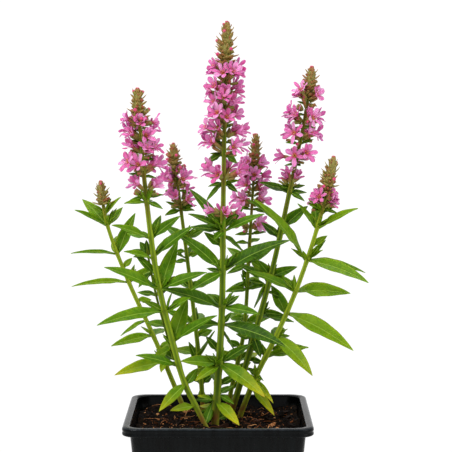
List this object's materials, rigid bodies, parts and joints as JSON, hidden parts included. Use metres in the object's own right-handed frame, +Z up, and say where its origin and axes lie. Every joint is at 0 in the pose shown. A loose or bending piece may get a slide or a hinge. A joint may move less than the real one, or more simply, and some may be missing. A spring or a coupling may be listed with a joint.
{
  "type": "potted purple loosestrife",
  "caption": "Flowering perennial with upright leafy stems and pink flower spikes, growing in a square plastic nursery pot filled with bark compost.",
  "frame": {"origin": "centre of the flat underside of the pot", "axes": "+Z up, along the pot's axis and the height of the plant; -Y towards the front, the side that the picture shows; +X to the right in the picture"},
  "size_m": [0.2446, 0.1646, 0.453],
  "materials": {
    "pot": "satin black moulded plastic",
    "soil": "moist peat and composted bark",
    "leaf": "soft satin leaf",
    "flower": "thin crinkled petal",
    "bud": "ribbed and finely hairy"
  },
  "bodies": {
    "root": {"pot": "pot", "soil": "soil", "stem_far_left": "leaf", "buds_far_left": "bud", "stem_left": "leaf", "flowers_left": "flower", "buds_left": "bud", "stem_centre": "leaf", "flowers_centre": "flower", "buds_centre": "bud", "stem_back_left": "leaf", "flowers_back_left": "flower", "buds_back_left": "bud", "stem_back_right": "leaf", "flowers_back_right": "flower", "buds_back_right": "bud", "stem_right": "leaf", "flowers_right": "flower", "buds_right": "bud", "stem_far_right": "leaf", "flowers_far_right": "flower", "buds_far_right": "bud"}
  },
  "joints": []
}
